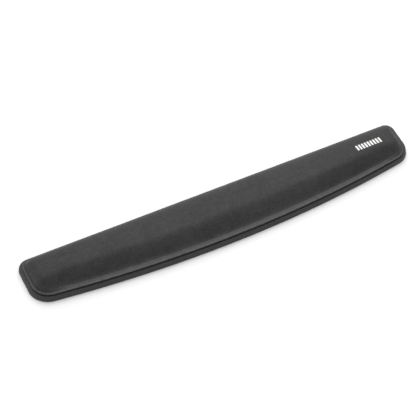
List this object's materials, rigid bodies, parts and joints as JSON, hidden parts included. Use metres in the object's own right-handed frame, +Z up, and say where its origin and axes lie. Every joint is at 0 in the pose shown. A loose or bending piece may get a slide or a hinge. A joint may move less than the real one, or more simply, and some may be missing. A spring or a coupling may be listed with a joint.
{
  "type": "keyboard wrist rest",
  "caption": "Long low padded wrist rest with a straight back edge, a bowed front edge, a domed leatherette cushion with a pressed flange, and a moulded base with a rubber underside.",
  "frame": {"origin": "on the desk plane, under the centre of the outline's bounding box", "axes": "+X to the typist's right along the length, +Y away from the typist towards the keyboard, +Z up"},
  "size_m": [0.4602, 0.073, 0.0201],
  "materials": {
    "leatherette": "black coated leatherette, fine pebble grain, satin sheen, pressed smoother on the flange",
    "lining": "dark grey fine knit, matte",
    "backing": "dense grey fibre sheet, matte",
    "base": "black moulded plastic with a coarse sparked texture",
    "antislip": "black rubber with a fine moulded dimple pattern",
    "adhesive": "translucent cream double-sided film",
    "foam": "charcoal open-cell foam",
    "gel": "clear bluish soft gel, glossy",
    "film": "clear thin film, glossy",
    "print": "flat white printed ink"
  },
  "bodies": {
    "root": {"base_tray": "base", "antislip_adhesive": "adhesive", "antislip_sheet": "antislip", "pad_adhesive": "adhesive", "backing_sheet": "backing", "foam_core": "foam", "gel_film_lower": "film", "gel_pad": "gel", "gel_film_upper": "film", "cover_lining": "lining", "cover_skin": "leatherette", "printed_mark": "print"}
  },
  "joints": []
}
